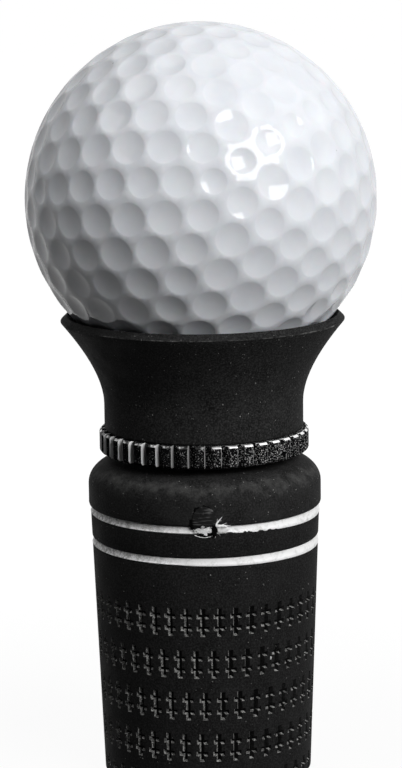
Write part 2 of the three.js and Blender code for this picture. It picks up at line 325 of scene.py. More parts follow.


# Moulded rubber: nearly black and matt, with a cast grain, drawn coarse enough to show, a grey mottle, a
# sprinkle of pale dust, and a pale band along one round edge, where its radius and height are given: dust
# on the cup's lip, and on the cap's shoulder a painted sheen
def make_rubber(name, colour, pale, dust, rarity, mottling, dust_and_sheen_edge=(0, 0), dust_and_sheen_reach=0.0002,
                dust_and_sheen_share=0.6):
    material, place = new_material(name)
    bloom = add_node(material, "TexNoise", grains(place, 0.003, 5, 0.65))
    tone = add_node(material, "ValToRGB", {"Fac": bloom.outputs["Fac"]})
    set_ramp(tone, (0.35, colour), (0.7, pale))
    specks = add_node(material, "TexVoronoi", {"Vector": place, "Scale": 1 / 0.0003, "Randomness": 1})
    size = add_node(material, "TexNoise", grains(place, 0.0004, 2))
    reach = add_node(material, "MapRange", span(size.outputs["Fac"], rarity, 0.85, 0.0, 0.6))
    near = add_node(material, "Math", {0: reach.outputs["Result"], 1: specks.outputs["Distance"]},
                    operation="SUBTRACT")
    speckled = add_node(material, "MapRange", span(near.outputs["Value"], 0.0, 0.08, 0.0, dust))
    flat = add_node(material, "VectorMath", {0: place, 1: (1, 1, 0)}, operation="MULTIPLY")
    radius = add_node(material, "VectorMath", {0: flat.outputs["Vector"]}, operation="LENGTH")
    axial = add_node(material, "SeparateXYZ", {"Vector": place})
    turned_place = add_node(material, "CombineXYZ", {"X": radius.outputs["Value"], "Y": axial.outputs["Z"]})
    # The pale band along the given edge: dust on the cup's lip, a painted sheen on the cap's shoulder
    from_edge = add_node(material, "VectorMath", {0: turned_place.outputs["Vector"], 1: (*dust_and_sheen_edge, 0)},
                         operation="DISTANCE")
    streak = add_node(material, "TexNoise", grains(place, 0.0014, 6, 0.7))
    line_reach = add_node(material, "MapRange", span(streak.outputs["Fac"], 0.34, 0.68, 0.0, dust_and_sheen_reach))
    line_near = add_node(material, "Math", {0: line_reach.outputs["Result"], 1: from_edge.outputs["Value"]},
                         operation="SUBTRACT")
    line = add_node(material, "MapRange", span(line_near.outputs["Value"], 0.0,
                                               dust_and_sheen_reach * DUST_AND_SHEEN_FADE_SHARE, 0.0, dust_and_sheen_share))
    share = add_node(material, "Math", {0: speckled.outputs["Result"], 1: line.outputs["Result"]},
                     operation="MAXIMUM")
    mottle = add_node(material, "TexNoise", grains(place, 0.0002, 3))
    greyed = add_node(material, "MapRange", span(mottle.outputs["Fac"], 0.42, 0.68, 0.0, mottling))
    paled = add_node(material, "Mix", blend(greyed.outputs["Result"], tone.outputs["Color"], "#404040"),
                      data_type="RGBA")
    mixed = add_node(material, "Mix", blend(share.outputs["Value"], paled.outputs[MIX_RESULT], "#a4a4a2"),
                     data_type="RGBA")
    grain = add_node(material, "TexNoise", grains(place, 0.00022, 4))
    height = add_node(material, "Math", {0: grain.outputs["Fac"], 1: share.outputs["Value"]},
                      operation="ADD")
    bump = add_node(material, "Bump", relief(height.outputs["Value"], 0.00005, 0.8))
    rough = add_node(material, "MapRange", span(bloom.outputs["Fac"], 0.3, 0.7, 0.62, 0.8))
    return finish_material(material, {
        "Base Color": mixed.outputs[MIX_RESULT], "Roughness": rough.outputs["Result"],
        "Normal": bump.outputs["Normal"], "IOR": 1.5, "Specular IOR Level": 0.02})


cup = make_cup()
cup.data.materials.append(make_rubber("moulded_cup_rubber", "#151515", "#272727", 0.8, 0.57, 0.8,
                                      (RIM_RADIUS, SEAL_HEIGHT - LIP_DROP)))
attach(cup, "pickup")
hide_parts("suction_cup")

# Mounting screw.
# A zinc-plated pan-head screw with a cross recess. It holds the cup and the ring together, and its thread
# bites into the vent hole of the grip.

SCREW_LOW, SCREW_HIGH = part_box("mounting_screw")
HEAD_RADIUS = SCREW_HIGH.x
HEAD_HEIGHT = 0.0019
HEAD_EDGE = 0.0007
HEAD_FOOT_CHAMFER = 0.0001
DOME_STEPS = 10
SHANK_RADIUS = 0.002
TIP_LENGTH = 0.003
TIP_RADIUS = 0.0005
THREAD_PITCH = 0.002
THREAD_RISE = 0.00042
THREAD_FOOT = 0.0005
THREAD_TOP_GAP = 0.0004
THREAD_ROOT_SHARE = 0.9
THREAD_CREST_SHARES = (0.62, 0.38)
THREAD_STEPS = 32
RECESS_WIDTH = 0.0011
RECESS_LENGTH = 0.0044
RECESS_DEPTH = 0.0012
RECESS_FOOT_SHARE = 0.5
LEVEL_TILT = 0.5
SCREW_SIDES = 64


def make_screw():
    head_foot = SCREW_HIGH.z - HEAD_HEIGHT
    dome = [(HEAD_RADIUS * math.cos(a), head_foot + HEAD_EDGE + (HEAD_HEIGHT - HEAD_EDGE) * math.sin(a))
            for a in (k / DOME_STEPS * math.pi / 2 for k in range(DOME_STEPS))]
    profile = [(0, SCREW_LOW.z), (TIP_RADIUS, SCREW_LOW.z), (SHANK_RADIUS, SCREW_LOW.z + TIP_LENGTH),
               (SHANK_RADIUS, head_foot), (HEAD_RADIUS - HEAD_FOOT_CHAMFER, head_foot), *dome,
               (0, SCREW_HIGH.z)]
    return piece_from(turned(profile, SCREW_SIDES), "pan_head_screw", 40)


def make_recess():
    """A cross with sloping ends, which is cut out of the screw's head."""
    form = bmesh.new()
    bmesh.ops.create_cube(form, size=RECESS_WIDTH)
    sides = [face for face in form.faces if abs(face.normal.z) < LEVEL_TILT]
    for arm in bmesh.ops.extrude_discrete_faces(form, faces=sides)["faces"]:
        bmesh.ops.translate(form, verts=arm.verts, vec=arm.normal * (RECESS_LENGTH - RECESS_WIDTH) / 2)
    bmesh.ops.scale(form, verts=form.verts, vec=(1, 1, 2 * RECESS_DEPTH / RECESS_WIDTH))
    low = [vert for vert in form.verts if vert.co.z < 0]
    bmesh.ops.scale(form, verts=low, vec=(RECESS_FOOT_SHARE, RECESS_FOOT_SHARE, 1))
    bmesh.ops.translate(form, verts=form.verts, vec=(0, 0, SCREW_HIGH.z))
    return piece_from(form, "recess_cutter")


screw = make_screw()
cutter = make_recess()
cut = screw.modifiers.new("cross_recess", "BOOLEAN")
cut.operation = "DIFFERENCE"
cut.object = cutter
bpy.context.view_layer.update()
recessed = bpy.data.meshes.new_from_object(screw.evaluated_get(bpy.context.evaluated_depsgraph_get()))
screw.modifiers.clear()
screw.data = recessed
bpy.data.objects.remove(cutter)


def make_thread():
    """A ridge of trapezium section, wound right-handed from the point to just below the grip's top."""
    start = SCREW_LOW.z + TIP_LENGTH
    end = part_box("friction_washer")[0].z - THREAD_TOP_GAP
    turns = (end - start) / THREAD_PITCH
    steps = round(turns * THREAD_STEPS)
    form = bmesh.new()
    root = SHANK_RADIUS * THREAD_ROOT_SHARE
    crest = SHANK_RADIUS + THREAD_RISE
    corners = [(root, 0, start), (root, 0, start + THREAD_FOOT)]
    corners += [(crest, 0, start + THREAD_FOOT * share) for share in THREAD_CREST_SHARES]
    face = form.faces.new([form.verts.new(corner) for corner in corners])
    bmesh.ops.spin(form, geom=[face], cent=(0, 0, 0), axis=(0, 0, 1), dvec=(0, 0, (end - start) / steps),
                   angle=2 * math.pi * turns, steps=steps)
    return piece_from(form, "screw_thread", 30)


# Zinc plating on turned or pressed steel: bright and a little cloudy
def make_zinc():
    material, place = new_material("zinc_plated_steel")
    cloud = add_node(material, "TexNoise", grains(place, 0.0015, 4))
    tone = add_node(material, "ValToRGB", {"Fac": cloud.outputs["Fac"]})
    set_ramp(tone, (0, "#a9abad"), (1, "#cfd0d1"))
    rough = add_node(material, "MapRange", span(cloud.outputs["Fac"], 0.3, 0.7, 0.25, 0.42))
    bump = add_node(material, "Bump", relief(cloud.outputs["Fac"], 0.00001, 0.5))
    return finish_material(material, {
        "Base Color": tone.outputs["Color"], "Metallic": 1, "Roughness": rough.outputs["Result"],
        "Normal": bump.outputs["Normal"]})


def recoat(node, material):
    """Gives a node of the construction, which is kept as it is, a material of the scene."""
    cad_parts[node].data.materials.clear()
    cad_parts[node].data.materials.append(material)


zinc = make_zinc()
thread = make_thread()
for part in (screw, thread):
    part.data.materials.append(zinc)
    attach(part, "pickup")
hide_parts("mounting_screw")
recoat("head_washer", zinc)

# Coin-edged ring.
# A turned metal ring, plated dark, with forty teeth that are steep on one side and slope on the other. The
# fingers grip them to screw the pickup in, and the screw clamps the ring to the cup.

RING_LOW, RING_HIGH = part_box("coin_edge_ring")
RING_RADIUS = RING_HIGH.x
TOOTH_COUNT = 40
TOOTH_DEPTH = 0.0009
TOOTH_CORNER_SHARES = ((-0.71, 0.0), (-0.5, 0.55), (-0.27, 1.0), (0.27, 1.0))
RING_SIDES = TOOTH_COUNT * len(TOOTH_CORNER_SHARES)
TOOTH_TURN = math.radians(-2.2)
RING_CHAMFER = 0.00025
RING_HOLE = 0.0023
TOOTH_EDGE_ROUND = 0.00006
CRISP_ANGLE = math.radians(18)
LIT_FLANK_COAT = 1
FLANK_TILT = 0.25
EDGE_COAT = 2
EDGE_TILTS = (0.5, 0.85)


def tooth_ring(form, height, top_radius):
    """One closed loop of the ring's edge, its corners set by shares of the teeth's pitch and depth."""
    loop = bmesh.ops.create_circle(form, segments=RING_SIDES, radius=1)["verts"]
    for k, vert in enumerate(loop):
        tooth, corner = divmod(k, len(TOOTH_CORNER_SHARES))
        along, rise = TOOTH_CORNER_SHARES[corner]
        around = (tooth + along) / TOOTH_COUNT * 2 * math.pi
        radius = min(RING_RADIUS - TOOTH_DEPTH * (1 - rise), top_radius)
        vert.co = (radius * math.cos(around), radius * math.sin(around), height)
    return {edge for vert in loop for edge in vert.link_edges}


def make_ring():
    form = bmesh.new()
    levels = [(RING_LOW.z, RING_RADIUS - RING_CHAMFER), (RING_LOW.z + RING_CHAMFER, RING_RADIUS),
              (RING_HIGH.z - RING_CHAMFER, RING_RADIUS), (RING_HIGH.z, RING_RADIUS - RING_CHAMFER)]
    loops = [tooth_ring(form, height, radius) for height, radius in levels]
    for height in (RING_HIGH.z, RING_LOW.z):
        hole = bmesh.ops.create_circle(form, segments=RING_SIDES, radius=RING_HOLE,
                                       matrix=Matrix.Translation((0, 0, height)))["verts"]
        loops.append({edge for vert in hole for edge in vert.link_edges})
    for loop, following in zip(loops, loops[1:] + loops[:1]):
        bmesh.ops.bridge_loops(form, edges=list(loop | following))
    bmesh.ops.recalc_face_normals(form, faces=form.faces)
    crisp = [e for e in form.edges if e.calc_face_angle(0) > CRISP_ANGLE
             and min(v.co.xy.length for v in e.verts) > RING_RADIUS - 2 * TOOTH_DEPTH]
    bmesh.ops.bevel(form, geom=crisp, offset=TOOTH_EDGE_ROUND, offset_type="OFFSET", affect="EDGES",
                    segments=2, profile=0.5, material=-1, clamp_overlap=True)
    bmesh.ops.recalc_face_normals(form, faces=form.faces)
    # Flanks facing the lamps take the pale flank coat, as painted light, and the upper chamfer takes the
    # worn coat
    for face in form.faces:
        middle = face.calc_center_median().xy
        if face.normal.xy.dot(middle.normalized().orthogonal()) > FLANK_TILT:
            face.material_index = LIT_FLANK_COAT
        elif (EDGE_TILTS[0] < face.normal.z < EDGE_TILTS[1]
              and middle.length > RING_RADIUS - 2 * RING_CHAMFER):
            face.material_index = EDGE_COAT
    bmesh.ops.rotate(form, verts=form.verts, cent=(0, 0, 0), matrix=Matrix.Rotation(TOOTH_TURN, 3, "Z"))
    return piece_from(form, "toothed_ring", 12)


# Dark nickel plating, blackened and matt, with small pits, drawn coarse enough to show, and pale specks of
# dust, with more specks painted on the ring's right side, towards the lamps, as painted glints
def make_dark_nickel():
    material, place = new_material("dark_nickel_plating")
    cloud = add_node(material, "TexNoise", grains(place, 0.0009, 5, 0.7))
    tone = add_node(material, "ValToRGB", {"Fac": cloud.outputs["Fac"]})
    set_ramp(tone, (0.35, "#080809"), (0.75, "#1a1a1b"))
    grit = add_node(material, "TexNoise", grains(place, 0.00016, 2))
    side = add_node(material, "SeparateXYZ", {"Vector": place})
    # More pale specks towards the ring's right side: painted glints of the lamps on the grit
    lit_side_grit = add_node(material, "MapRange", span(side.outputs["X"], -0.008, 0.006, -0.04, 0.034))
    grit_and_lit_side = add_node(material, "Math", {0: grit.outputs["Fac"], 1: lit_side_grit.outputs["Result"]},
                      operation="ADD")
    lit = add_node(material, "MapRange", span(grit_and_lit_side.outputs["Value"], 0.59, 0.7, 0.0, 0.9))
    specked = add_node(material, "Mix", blend(lit.outputs["Result"], tone.outputs["Color"], "#c8c8c8"),
                       data_type="RGBA")
    rough = add_node(material, "MapRange", span(cloud.outputs["Fac"], 0.35, 0.7, 0.2, 0.5))
    bump = add_node(material, "Bump", relief(grit.outputs["Fac"], 0.00006, 0.8))
    return finish_material(material, {
        "Base Color": specked.outputs[MIX_RESULT], "Roughness": rough.outputs["Result"],
        "Normal": bump.outputs["Normal"], "Specular IOR Level": 0.0})


# The flanks that the fingers push on when the ring is screwed in: rubbed grey, with upright streaks. Only
# the flanks facing the lamps get this pale coat, so its paleness is partly painted light, and on the ring's
# left side they are painted paler still as a painted highlight
def make_lit_flank():
    material, place = new_material("nickel_flank_painted_light")
    upright = add_node(material, "Mapping", {"Vector": place, "Scale": (1, 1, 0.12)})
    streak = add_node(material, "TexNoise", grains(upright.outputs["Vector"], 0.0002, 4))
    tone = add_node(material, "ValToRGB", {"Fac": streak.outputs["Fac"]})
    set_ramp(tone, (0.35, "#808080"), (0.65, "#a8a8a8"))
    side = add_node(material, "SeparateXYZ", {"Vector": place})
    # Painted highlight: the flanks are mixed toward near white on the ring's left side
    paled = add_node(material, "MapRange", span(side.outputs["X"], -0.009, -0.004, 1.0, 0.0))
    bright = add_node(material, "Mix", blend(paled.outputs["Result"], tone.outputs["Color"], "#f2f2f2"),
                      data_type="RGBA")
    bump = add_node(material, "Bump", relief(streak.outputs["Fac"], 0.00002, 0.5))
    return finish_material(material, {
        "Base Color": bright.outputs[MIX_RESULT], "Metallic": 0.05, "Roughness": 0.6,
        "Normal": bump.outputs["Normal"], "Specular IOR Level": 0.1})


# Worn upper edge: the plating is rubbed through to bright metal in spots, and along the ring's right side
# the edge is painted bright as a painted highlight of the lamps
def make_worn_and_highlit_edge():
    material, place = new_material("worn_nickel_edge_painted_highlight")
    patchy = add_node(material, "TexNoise", grains(place, 0.0008, 4))
    side = add_node(material, "SeparateXYZ", {"Vector": place})
    # Painted highlight: the edge turns to bright metal on the ring's right side
    highlight_side = add_node(material, "MapRange", span(side.outputs["X"], 0.0005, 0.0025, -0.1, 0.25))
    wear_and_highlight = add_node(material, "Math", {0: patchy.outputs["Fac"], 1: highlight_side.outputs["Result"]},
                    operation="ADD")
    tone = add_node(material, "ValToRGB", {"Fac": wear_and_highlight.outputs["Value"]})
    set_ramp(tone, (0.42, "#343434"), (0.62, "#f0f0f0"))
    rough = add_node(material, "MapRange", span(wear_and_highlight.outputs["Value"], 0.3, 0.7, 0.42, 0.3))
    return finish_material(material, {
        "Base Color": tone.outputs["Color"], "Metallic": 1, "Roughness": rough.outputs["Result"]})


ring = make_ring()
for coat in (make_dark_nickel(), make_lit_flank(), make_worn_and_highlit_edge()):
    ring.data.materials.append(coat)
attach(ring, "pickup")
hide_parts("coin_edge_ring")

# Friction washer.
# A thin black fibre washer that lets the ring turn down on the rubber cap without rubbing it. The screw
# passes through it.


# Pressed fibre: matt and slightly fuzzy, with a mottled black dye
def make_fibre():
    material, place = new_material("pressed_fibre")
    felt = add_node(material, "TexNoise", grains(place, 0.0004, 6))
    tone = add_node(material, "ValToRGB", {"Fac": felt.outputs["Fac"]})
    set_ramp(tone, (0, "#101010"), (1, "#2a2a2a"))
    bump = add_node(material, "Bump", relief(felt.outputs["Fac"], 0.00004, 0.6))
    return finish_material(material, {
        "Base Color": tone.outputs["Color"], "Roughness": 0.85, "Normal": bump.outputs["Normal"],
        "Specular IOR Level": 0.2})


recoat("friction_washer", make_fibre())

# Grip cap.
# The grip's end cap of moulded black rubber, with a wide rounded shoulder and the vent hole that the screw
# goes into. It is moulded first, and the sleeve is moulded on below it.

CAP_LOW, CAP_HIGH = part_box("grip_cap")
CAP_RADIUS = CAP_HIGH.x
SHOULDER_WIDTH = 0.004
SHOULDER_DROP = 0.003
CAP_EDGE = 0.00035
VENT_RADIUS = 0.0026
VENT_CHAMFER = 0.0003
SHOULDER_STEPS = 14
SHEEN_LINE_SHARES = (0.16, 0.38)
SHEEN_REACH = 0.0024


def make_cap():
    centre = (CAP_RADIUS - SHOULDER_WIDTH, CAP_HIGH.z - SHOULDER_DROP)
    shoulder = [(centre[0] + SHOULDER_WIDTH * math.cos(a), centre[1] + SHOULDER_DROP * math.sin(a))
                for a in (k / SHOULDER_STEPS * math.pi / 2 for k in range(SHOULDER_STEPS + 1))]
    profile = [(VENT_RADIUS, CAP_LOW.z), (CAP_RADIUS, CAP_LOW.z), *shoulder,
               (VENT_RADIUS + VENT_CHAMFER, CAP_HIGH.z), (VENT_RADIUS, CAP_HIGH.z - VENT_CHAMFER)]
    return piece_from(turned(profile, CUP_SIDES, [(1, CAP_EDGE)]), "rounded_cap", 50)


cap = make_cap()
# The pale band round the cap's shoulder is a painted sheen, drawn with a grain like dust
sheen_line = (CAP_RADIUS - SHOULDER_WIDTH * SHEEN_LINE_SHARES[0],
             CAP_HIGH.z - SHOULDER_DROP * SHEEN_LINE_SHARES[1])
cap.data.materials.append(make_rubber("moulded_cap_rubber", "#181818", "#2b2b2b", 0.8, 0.57, 0.5,
                                      sheen_line, SHEEN_REACH, 0.16))
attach(cap, "handle")
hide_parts("grip_cap")

# Grip sleeve.
# The tapered sleeve of moulded black rubber, with two grooves round it and rows of small double-cross pits
# that give the hand its hold. It is pushed over the taped shaft, and it is cut off flat below.

SLEEVE_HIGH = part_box("grip_sleeve")[1]
GRIP_SIDES = 800
SLEEVE_CUT_RADIUS = 0.01285
SLEEVE_TOP_RADIUS = 0.0141
SLEEVE_BORE = 0.0078
GROOVE_WIDTH = 0.00082
GROOVE_DEPTH = 0.0004
GROOVE_SPACING = 0.0039
GROOVE_EDGE = 0.0002
PIT_SLOT_WIDTH = 0.0006
PIT_BAR_WIDTH = 0.0014
PIT_HEIGHTS = (0.0007, 0.0006, 0.0009, 0.0006, 0.0007)
PIT_BAR_LEVELS = (1, 3)
PIT_CUT_LEVEL = 2
PIT_ROW_TOP = 0.0234
PIT_ROW_PITCH = 0.00525
PIT_ROW_COUNTS = (43, 41, 40, 40, 39)
PIT_ROW_TURNS = (-1.8, 3.5, -1.0, -3.0, 1.0)
PIT_DEPTH = 0.00035
PIT_DRAFT = 0.00018
WALL_TILT = 0.3
LIT_WALL_COAT = 1
SHADED_PIT_FLOOR_COAT = 2


def sleeve_radius(height):
    """The sleeve's straight taper from its top down to its cut end."""
    return SLEEVE_CUT_RADIUS + height * (SLEEVE_TOP_RADIUS - SLEEVE_CUT_RADIUS) / SLEEVE_HIGH.z


def pit_levels():
    """Heights at which the pits' outlines step, from the lowest up, each with the row and the level above.
    The lowest row runs out at the sleeve's cut end."""
    levels = []
    for row in range(len(PIT_ROW_COUNTS)):
        height = PIT_ROW_TOP - row * PIT_ROW_PITCH
        for level, tall in enumerate(PIT_HEIGHTS):
            levels.append((height - tall, row, level))
            height -= tall
        levels.append((PIT_ROW_TOP - row * PIT_ROW_PITCH, row, None))
    levels = sorted(entry for entry in levels if entry[0] > 0)
    return [(0, len(PIT_ROW_COUNTS) - 1, PIT_CUT_LEVEL), *levels]


def make_sleeve():
    first_foot = SLEEVE_HIGH.z - GROOVE_WIDTH
    second_top = SLEEVE_HIGH.z - GROOVE_SPACING
    second_foot = second_top - GROOVE_WIDTH
    first_floor = sleeve_radius(first_foot) - GROOVE_DEPTH
    second_floor = sleeve_radius(second_top) - GROOVE_DEPTH
    levels = pit_levels()
    wall = [(sleeve_radius(height), height) for height, _, _ in levels]
    lips = [(sleeve_radius(height), height) for height in (second_foot, second_top, first_foot)]
    profile = [(SLEEVE_BORE, 0), *wall, lips[0], (second_floor, second_foot), (second_floor, second_top),
               lips[1], lips[2], (first_floor, first_foot), (first_floor, SLEEVE_HIGH.z),
               (SLEEVE_BORE, SLEEVE_HIGH.z)]
    form = turned(profile, GRIP_SIDES, [(profile.index(lip), GROOVE_EDGE) for lip in lips])
    pits = []
    for face in form.faces:
        middle = face.calc_center_median()
        if middle.xy.length < SLEEVE_CUT_RADIUS - GROOVE_DEPTH or abs(face.normal.z) > LEVEL_TILT:
            continue
        _, row, level = [entry for entry in levels if entry[0] < middle.z][-1]
        if level is None:
            continue
        pitch = 2 * math.pi / PIT_ROW_COUNTS[row]
        around = math.atan2(middle.y, middle.x) + math.pi / 2 - math.radians(PIT_ROW_TURNS[row])
        aside = abs((around + pitch / 2) % pitch - pitch / 2) * middle.xy.length
        if 2 * aside < (PIT_BAR_WIDTH if level in PIT_BAR_LEVELS else PIT_SLOT_WIDTH):
            pits.append(face)
    mouths = bmesh.ops.dissolve_faces(form, faces=pits)["region"]
    walls = bmesh.ops.inset_individual(form, faces=mouths, thickness=PIT_DRAFT, depth=-PIT_DEPTH,
                                       use_even_offset=True)["faces"]
    # The pit floors take a near black coat, darker than the grip, as painted shade in the pits
    for mouth in mouths:
        mouth.material_index = SHADED_PIT_FLOOR_COAT
    # Pit walls facing up or to the right, toward the lamps, take the pale dusty coat as painted light
    for wall in walls:
        wall.normal_update()
        around = Vector((0, 0, 1)).cross(wall.calc_center_median())
        if wall.normal.dot(around.normalized()) > WALL_TILT or wall.normal.z > WALL_TILT:
            wall.material_index = LIT_WALL_COAT
    return piece_from(form, "pitted_sleeve", 40)


# Walls of the pits that face up or to the right: black rubber with pale, curly lines of settled dust. Only
# the walls facing the lamps get this coat, so they are a painted lit copy of the pit walls
def make_lit_pit_wall():
    material, place = new_material("dusty_pit_wall_painted_light")
    curl = add_node(material, "TexNoise", grains(place, 0.0003, 1))
    middle = add_node(material, "Math", {0: curl.outputs["Fac"], 1: 0.5}, operation="SUBTRACT")
    off_line = add_node(material, "Math", {0: middle.outputs["Value"]}, operation="ABSOLUTE")
    dust = add_node(material, "MapRange", span(off_line.outputs["Value"], 0.02, 0.09, 0.9, 0.2))
    tone = add_node(material, "Mix", blend(dust.outputs["Result"], linear("#101010"), "#a8a8a6"),
                    data_type="RGBA")
    bump = add_node(material, "Bump", relief(dust.outputs["Result"], 0.00008, 0.8))
    return finish_material(material, {
        "Base Color": tone.outputs[MIX_RESULT], "Roughness": 0.8, "Normal": bump.outputs["Normal"],
        "IOR": 1.5, "Specular IOR Level": 0.05})


sleeve = make_sleeve()
sleeve.data.materials.append(make_rubber("moulded_grip_rubber", "#151515", "#202020", 0.7, 0.61, 0.35))
sleeve.data.materials.append(make_lit_pit_wall())
# Near black rubber for the pit floors: painted shade
sleeve.data.materials.append(make_rubber("pit_floor_rubber_painted_shade", "#040404", "#0a0a0a", 0.2, 0.66, 0.1))
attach(sleeve, "handle")
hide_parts("grip_sleeve")

# Painted stripes.
# White paint wiped into the two grooves by hand. It lies on the groove's floor, and on one side of the grip
# it laps over the groove's lower lip. The upper one's edge is bitten ragged beside the gate mark.

PAINT_THICKNESS = 0.0002
PAINT_SKIN = 0.00003
PAINT_LIP_SKINS = ((-4, -2), (0, -2), (1, 0), (-1, 2))
PAINT_SLOPE = 6 * PAINT_SKIN
LAP_LEAST = 0.00002
LAP_MOST = 0.00034
LAP_CURVE = 0.7
LAP_LAST_TURN = math.radians(60)
BITE_TURNS = (math.radians(8), math.radians(38))
BITE_DEPTH = 0.00024
BITE_GRAIN = 0.00035
BITE_LIFT = 0.2
STRIPES = (("upper_stripe", "upper_paint", math.radians(14), BITE_DEPTH),
           ("lower_stripe", "lower_paint", math.radians(-12), 0))


def make_stripe(node, name, lap_first_turn, bite_depth):
    low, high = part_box(node)
    outer = high.x
    inner = outer - PAINT_THICKNESS
    lip = sleeve_radius(low.z)
    lap = [(lip + out * PAINT_SKIN, low.z + up * PAINT_SKIN) for out, up in PAINT_LIP_SKINS]
    form = turned([(inner, low.z), *lap, (outer, low.z + PAINT_SLOPE), (outer, high.z), (inner, high.z)],
                  GRIP_SIDES)
    for vert in form.verts:
        if vert.co.xy.length > lip - PAINT_SKIN / 2:
            front = math.atan2(vert.co.y, vert.co.x) + math.pi / 2
            lapped = min(max((front - lap_first_turn) / (LAP_LAST_TURN - lap_first_turn), 0), 1)
            bite = max(noise.noise(vert.co.xy.to_3d() / BITE_GRAIN) + BITE_LIFT, 0) * bite_depth
            bitten = BITE_TURNS[0] < front < BITE_TURNS[1]
            vert.co.z -= LAP_LEAST + (LAP_MOST - LAP_LEAST) * lapped ** LAP_CURVE - bite * bitten
    return piece_from(form, name, 60)


# Filler paint: flat white, a little grey where the rubber shows through, with smudges of grime that are
# painted in only towards the grip's left side, away from the lamps, as painted shade
def make_line_paint():
    material, place = new_material("white_filler_paint")
    dirt = add_node(material, "TexNoise", grains(place, 0.0009, 6, 0.7))
    tone = add_node(material, "ValToRGB", {"Fac": dirt.outputs["Fac"]})
    set_ramp(tone, (0.3, "#d6d6d4"), (0.5, "#fafafa"))
    grime = add_node(material, "TexNoise", grains(place, 0.0005, 5, 0.7))
    smudged = add_node(material, "MapRange", span(grime.outputs["Fac"], 0.45, 0.62, 0.0, 1.0))
    side = add_node(material, "SeparateXYZ", {"Vector": place})
    # Painted shade: the grime smudges darken the paint more towards the grip's left side
    shaded_side = add_node(material, "MapRange", span(side.outputs["X"], -0.011, -0.001, 0.8, 0.0))
    grime_and_shade = add_node(material, "Math", {0: smudged.outputs["Result"], 1: shaded_side.outputs["Result"]},
                     operation="MULTIPLY")
    surface = add_node(material, "Mix", blend(grime_and_shade.outputs["Value"], tone.outputs["Color"], "#4e4e4c"),
                       data_type="RGBA")
    bump = add_node(material, "Bump", relief(dirt.outputs["Fac"], 0.00004, 0.6))
    return finish_material(material, {
        "Base Color": surface.outputs[MIX_RESULT], "Roughness": 0.55, "Normal": bump.outputs["Normal"]})


line_paint = make_line_paint()
for node, name, lap_first_turn, bite_depth in STRIPES:
    stripe = make_stripe(node, name, lap_first_turn, bite_depth)
    stripe.data.materials.append(line_paint)
    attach(stripe, "handle")
    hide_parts(node)

# Gate mark.
# Where the cap was moulded: a round pad of rubber across the upper groove, torn open at its right when the
# sprue was pulled off. Later paint got on its foot and on the torn shreds, and a fleck of it on the sleeve.

GATE_THICKNESS = 0.00018
# Each flake's coat, name, place across and up, size and tear, then how thick it is and how far off the grip
# it lies, as shares of the mark's thickness
# The torn flakes, the crack and the notch, are painted shade
FLAKES = (
    ("torn", "gate_crack", (-0.00022, 0.03425), (0.0030, 0.0034), 0.45, 1 / 3, 0),
    ("pad", "gate_pad", (-0.0001, 0.0343), (0.0029, 0.0034), 0.06, 1, 0),
    ("paint", "gate_smear", (-0.0001, 0.0331), (0.0022, 0.0009), 0.9, 1 / 2, 0.8),
    ("paint", "gate_blob", (0.0020, 0.0332), (0.0016, 0.0010), 0.4, 1, 0),
    ("torn", "gate_notch", (0.0011, 0.0330), (0.0007, 0.0013), 0.5, 1 / 2, 1.1),
    ("paint", "paint_fleck", (0.0087, 0.0165), (0.00022, 0.0004), 0.3, 1 / 4, 0))
FLAKE_SIDES = 56
FLAKE_INSETS = (0.08, 0.3, 0.3)
FLAKE_RIM = 0.93
FLAKE_RIM_SHARE = 0.4
TEAR_GRAIN = 0.3
TEAR_SHIFT = 1e4
# Each shred's foot across and up, its turn in degrees, its length and its thickness
SHREDS = ((0.0010, 0.0338, -8, 0.0020, 0.00013), (0.0012, 0.0338, 48, 0.0013, 0.00014),
          (0.0013, 0.0336, 84, 0.0009, 0.00010), (0.0011, 0.0336, -62, 0.0014, 0.00016),
          (0.0016, 0.0335, 20, 0.0011, 0.00011), (0.0014, 0.0331, -100, 0.0009, 0.00015),
          (0.0009, 0.0335, 130, 0.0007, 0.00012))
SHRED_SIDES = 7
SHRED_TAPER = 8
SHRED_CURL = 0.00018
SHRED_CURL_GRAIN = 0.0006
SHRED_SEED = 21
ARC_CENTRE = (-0.0001, 0, 0.0347)
ARC_RADIUS = 0.0025
ARC_TUBE = 0.000045
ARC_SPAN = math.radians(58)
ARC_SIDES = 8
ARC_STEPS = 24


def wrap(form, out):
    """Bends a form, drawn flat with x across and z up, onto the front of the grip, so far off it."""
    for vert in form.verts:
        reach = out - vert.co.y + (CAP_RADIUS if vert.co.z > CAP_LOW.z else sleeve_radius(vert.co.z))
        around = vert.co.x / CAP_RADIUS
        vert.co.xy = (reach * math.sin(around), -reach * math.cos(around))


